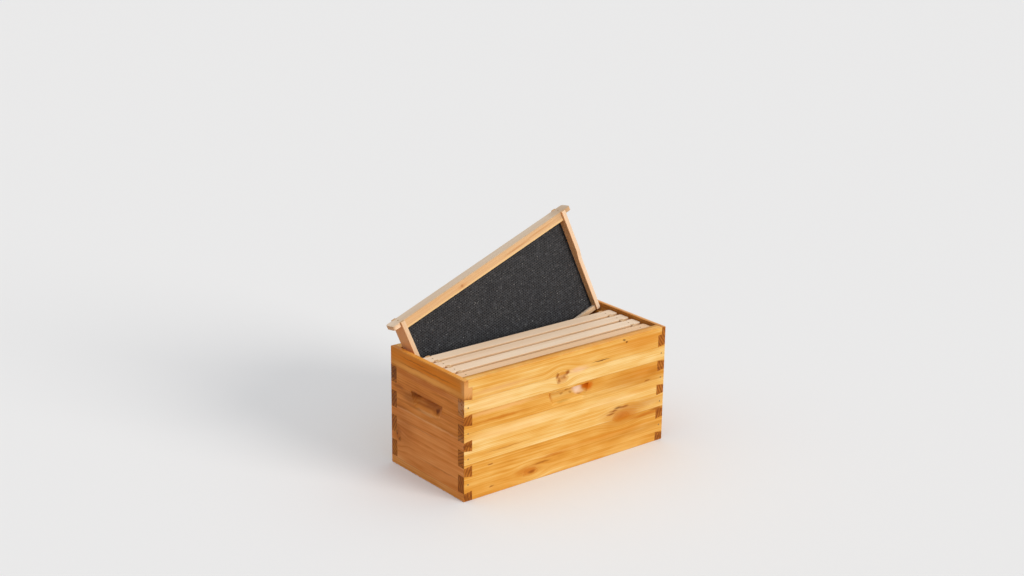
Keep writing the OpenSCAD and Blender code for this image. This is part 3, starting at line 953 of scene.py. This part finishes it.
def comb_tree(plastic):
    """A tree that presses rows of cells into both faces of a sheet that stands in its own axes."""
    tree, given = new_tree("comb foundation", {
        "Sheet": "Geometry", "Columns": "Int", "Rows": "Int", "Cell width": "Float", "Rim width": "Float",
        "Pit depth": "Float", "Rim drop": "Float", "Face": "Float", "Middle height": "Float",
    }, "Sheet")
    outer = add(tree, MATH, {0: given["Cell width"], 1: math.sqrt(3)}, operation="DIVIDE")
    cells = add(tree, "GeometryNodeInstanceOnPoints", {
        "Points": comb_points(tree, given, outer),
        "Instance": comb_cell(tree, given, outer),
        "Rotation": (QUARTER_TURN, 0, 0),
    })
    front = add(tree, "GeometryNodeRealizeInstances", {0: cells})
    front = add(tree, "GeometryNodeMergeByDistance", {"Geometry": front, "Distance": CELL_WELD})
    rear = add(tree, "GeometryNodeTransform", {"Geometry": front, "Rotation": (0, 0, math.pi)})
    sheet = add(tree, "GeometryNodeJoinGeometry", {0: [rear, front, given["Sheet"]]})
    return end_tree(tree, sheet, plastic)


print("cells of", CELL_MM, "mm")

# %% [markdown]
# ## The black plastic
# High-impact polystyrene is a deep charcoal with a soft gleam. The sheet is dipped in wax, which stays
# as a grey bloom, as smears and as pale specks, and lies thickest on the rims. Plain black would lose
# the cells in the dark, so the wax makes them show: layer by layer, each where its noise is high.

# %% Build the black plastic
# Each noise is (size in mm, detail). Specks are drawn wider than real crumbs of wax, or they would not show.
WAX_NOISE_MM = {"speck": (2.6, 2.0), "smear": (7, 3.0), "bloom": (45, 3.0)}
# Each layer is (noise, where it starts, where it is full, strength, colour).
WAX_LAYERS = (
    ("bloom", 0.35, 0.75, 0.35, "#1f2127"),
    ("smear", 0.45, 0.7, 0.6, "#3e4046"),
    ("rim", 0.0, 1.0, 0.5, "#56585d"),
    ("speck", 0.65, 0.77, 0.85, "#9b9c9e"),
)
PLASTIC = "#0c0d12"


def moulded_plastic():
    """The material of all sheets."""
    # A polished steel mould leaves the plastic smooth, and wax dulls it again in places. The eye gets a
    # black that gleams a little where the wax is thin and turns grey where it is thick.
    material, tree, shader = new_material("black moulded polystyrene with wax")
    place = add(tree, "ShaderNodeTexCoord", out="Object")
    wax = {"rim": add(tree, "ShaderNodeAttribute", out="Fac", attribute_name="waxed_rim")}
    for name, (size, detail) in WAX_NOISE_MM.items():
        scale = 1 / (size * MM)
        wax[name] = add(tree, "ShaderNodeTexNoise", {"Vector": place, "Scale": scale, "Detail": detail})
    colour = linear(PLASTIC)
    for name, start, full, strength, tone in WAX_LAYERS:
        cover = add(tree, "ShaderNodeMapRange", {0: wax[name], 1: start, 2: full, 3: 0.0, 4: strength})
        colour = add(tree, MIX, {0: cover, MIX_FROM: colour, MIX_TO: linear(tone)}, **COLOURS)
    rough = add(tree, "ShaderNodeMapRange", {0: wax["bloom"], 1: 0.3, 2: 0.7, 3: 0.5, 4: 0.68})
    feed(shader, {"Base Color": colour, "Roughness": rough, "IOR": 1.57, "Specular IOR Level": 0.21})
    return material


plastic = moulded_plastic()
comb = comb_tree(plastic)
print(len(WAX_LAYERS), "layers of wax on", plastic.name)

# %% [markdown]
# ## Pressing the sheets
# The CAD sheet has a flat field on both sides, a little lower than its rim. Its size could be typed in,
# but the solid's corners give it, so the count of cells follows the sheet. The tree works upright at
# the origin, so each sheet is moved there and back again.

# %% Press the cells into the sheets
SHEET_EASE = 0.2 * MM
FIELD_SUNK = 0.1 * MM
CELLS_BELOW_FACE = 0.05 * MM


def field_of(node, place):
    """(length, lower edge, upper edge, face) of a sheet's cell field, from its own corners."""
    own = in_axes(corners_of(node), place)
    face = own[:, 1].max()
    sunk = own[abs(own[:, 1]) < face - FIELD_SUNK]
    return np.ptp(sunk[:, 0]), sunk[:, 2].min(), sunk[:, 2].max(), face


def run_tree(piece, tree, values):
    """Turns a piece into what a tree makes of it. Inputs are set by the identifiers of their sockets."""
    tool = piece.modifiers.new(tree.name, "NODES")
    tool.node_group = tree
    for item in tree.interface.items_tree:
        if item.in_out == "INPUT" and item.name in values:
            tool[item.identifier] = values[item.name]
    baked(piece)


for body in FRAMES:
    node = body + "_foundation"
    length, low, high, face = field_of(node, PLACES[body])
    piece = eased(node, node + "_comb", SHEET_EASE)
    piece.data.transform(PLACES[body].inverted())
    run_tree(piece, comb, {
        "Columns": int(length / (CELL_MM * MM) - HALF_CELL),
        "Rows": 1 + int(((high - low) / (CELL_MM * MM) - 2 / math.sqrt(3)) * 2 / math.sqrt(3)),
        "Cell width": CELL_MM * MM,
        "Rim width": RIM_MM * MM,
        "Pit depth": PIT_MM * MM,
        "Rim drop": RIM_DROP_MM * MM,
        "Face": face - CELLS_BELOW_FACE,
        "Middle height": (low + high) / 2,
    })
    piece.data.transform(PLACES[body])
    hand_over(piece, plastic, body, node)
    print(piece.name, len(piece.data.polygons), "faces")

# %% [markdown]
# ## The nails
# Only the heads of the wire nails show, as small dull dots. A cylinder would do for each, but a real
# head is slightly domed and catches the light in one spot. So one Geometry Nodes tree builds a nail
# from its sizes and sets one on every point, turned the way that the point's attribute says.

# %% Build the nail tree
HEAD_SIDES = 16
SHANK_SIDES = 10
CROWN_SHARE = 0.6
DOME_SHARE = 0.1


def nail_tree(steel):
    """A tree that sets a nail with a domed head on each point, along the point's attribute named out."""
    tree, given = new_tree("wire nails", {
        "Heads": "Geometry", "Shank radius": "Float", "Head radius": "Float", "Head height": "Float",
        "Length": "Float",
    }, "Nails")
    parts = []
    for sides, radius, length in (
            (HEAD_SIDES, "Head radius", "Head height"), (SHANK_SIDES, "Shank radius", "Length")):
        part = add(tree, "GeometryNodeMeshCylinder",
                   {"Vertices": sides, "Radius": given[radius], "Depth": given[length]})
        half = add(tree, MATH, {0: given[length], 1: -0.5}, operation="MULTIPLY")
        drop = add(tree, "ShaderNodeCombineXYZ", {2: half})
        parts.append(add(tree, "GeometryNodeTransform", {"Geometry": part, "Translation": drop}))
    head, shank = parts
    crown = add(tree, MATH, {0: given["Head radius"], 1: CROWN_SHARE}, operation="MULTIPLY")
    rise = add(tree, MATH, {0: given["Head radius"], 1: DOME_SHARE}, operation="MULTIPLY")
    dome = add(tree, "GeometryNodeMeshCone", {
        "Vertices": HEAD_SIDES, "Radius Top": crown, "Radius Bottom": given["Head radius"], "Depth": rise})
    nail = add(tree, "GeometryNodeJoinGeometry", {0: [head, dome, shank]})
    out = add(tree, "GeometryNodeInputNamedAttribute", {"Name": "out"}, data_type="FLOAT_VECTOR")
    turn = add(tree, "FunctionNodeAlignRotationToVector", {"Vector": out}, axis="Z")
    nails = add(tree, "GeometryNodeInstanceOnPoints",
                {"Points": given["Heads"], "Instance": nail, "Rotation": turn})
    return end_tree(tree, nails, steel)


print("nail heads domed by", DOME_SHARE, "of their radius")

# %% [markdown]
# ## The steel
# Nail wire is bright when new. Wax from the boards and age have left a brownish film that hides most of
# the metal. Clean steel would glare out of the wood, so the colour carries the film and only a part of
# the surface counts as metal.

# %% Build the steel wire
TARNISH_MM = 1.4
METAL_SHARE = 0.25
WIRE_ROUGH = 0.3
WIRE_SPREAD = 0.3
FILM_DARK = "#8f6f42"
FILM_PALE = "#b08b55"


def drawn_wire():
    """The material of all nails."""
    # Steel is pulled through a die and its head is struck, which leaves fine scratches under the film.
    # The eye gets a dull, patchy gleam.
    material, tree, shader = new_material("dull drawn steel wire")
    place = add(tree, "ShaderNodeTexCoord", out="Object")
    tarnish = add(tree, "ShaderNodeTexNoise",
                  {"Vector": place, "Scale": 1 / (TARNISH_MM * MM), "Detail": 3.0})
    film = {0: tarnish, MIX_FROM: linear(FILM_DARK), MIX_TO: linear(FILM_PALE)}
    colour = add(tree, MIX, film, **COLOURS)
    rough = add(tree, MATH, {0: tarnish, 1: WIRE_SPREAD, 2: WIRE_ROUGH}, operation="MULTIPLY_ADD")
    feed(shader, {"Base Color": colour, "Roughness": rough, "Metallic": METAL_SHARE})
    return material


steel = drawn_wire()
nails = nail_tree(steel)
print(steel.name, "with patches of", TARNISH_MM, "mm")

# %% [markdown]
# ## Driving the nails
# Where a nail goes, how long it is and which way it points could be typed in from the drawing. But each
# CAD nail says so: its corners spread most along its axis and lie furthest from it at the head.

# %% Drive the nails
HEAD_SHARE = 0.9


def solids_of(node):
    """The corners of each separate solid of a CAD node."""
    bm = bmesh.new()
    bm.from_mesh(frame["nodes"][node].data)
    bmesh.ops.remove_doubles(bm, verts=bm.verts, dist=WELD)
    reached = set()
    for start in bm.verts:
        found, waiting = [], [start]
        while waiting:
            vert = waiting.pop()
            if vert not in reached:
                reached.add(vert)
                found.append(vert.co)
                waiting += [edge.other_vert(vert) for edge in vert.link_edges]
        if found:
            yield np.array(found)
    bm.free()


def nail_of(corners):
    """(middle of the head's top, direction out of the head, sizes) of one nail."""
    middle = corners.mean(0)
    axis = np.linalg.eigh(np.cov(corners.T))[1][:, -1]
    along = (corners - middle) @ axis
    radius = np.linalg.norm(corners - middle - np.outer(along, axis), axis=1)
    if along[radius.argmax()] < 0:
        axis, along = -axis, -along
    head = along[radius > radius.max() * HEAD_SHARE]
    sizes = {
        "Shank radius": radius[along < 0].max(),
        "Head radius": radius.max(),
        "Head height": np.ptp(head),
        "Length": np.ptp(along),
    }
    return middle + axis * along.max(), axis, sizes


for body, nodes in sorted(BODIES.items()):
    node = next(n for n in nodes if n.endswith("nails"))
    tops, axes, sizes = zip(*(nail_of(corners) for corners in solids_of(node)))
    mesh = bpy.data.meshes.new(node + "_driven")
    mesh.from_pydata(tops, [], [])
    mesh.attributes.new("out", "FLOAT_VECTOR", "POINT").data.foreach_set(
        "vector", np.array(axes, np.float32).ravel())
    piece = bpy.data.objects.new(node + "_driven", mesh)
    scene.collection.objects.link(piece)
    run_tree(piece, nails, {name: float(size) for name, size in sizes[0].items()})
    hand_over(piece, steel, body, node)
    in_mm = {name: round(size / MM, 2) for name, size in sizes[0].items()}
    print(piece.name, len(tops), "nails, mm:", in_mm)

# %% [markdown]
# ## The size at the end
# The finished pieces keep to the size of their solids, but for the domed heads of the corner nails. Both
# boxes are gathered, and the size of the finished one is printed.

# %% Gather the sizes and print the visual box
low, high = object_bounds()
sizes = {"cad": [list(cad_low), list(cad_high)], "visual": [list(low), list(high)]}
print("visual box in mm:", [round(side / MM) for side in high - low])
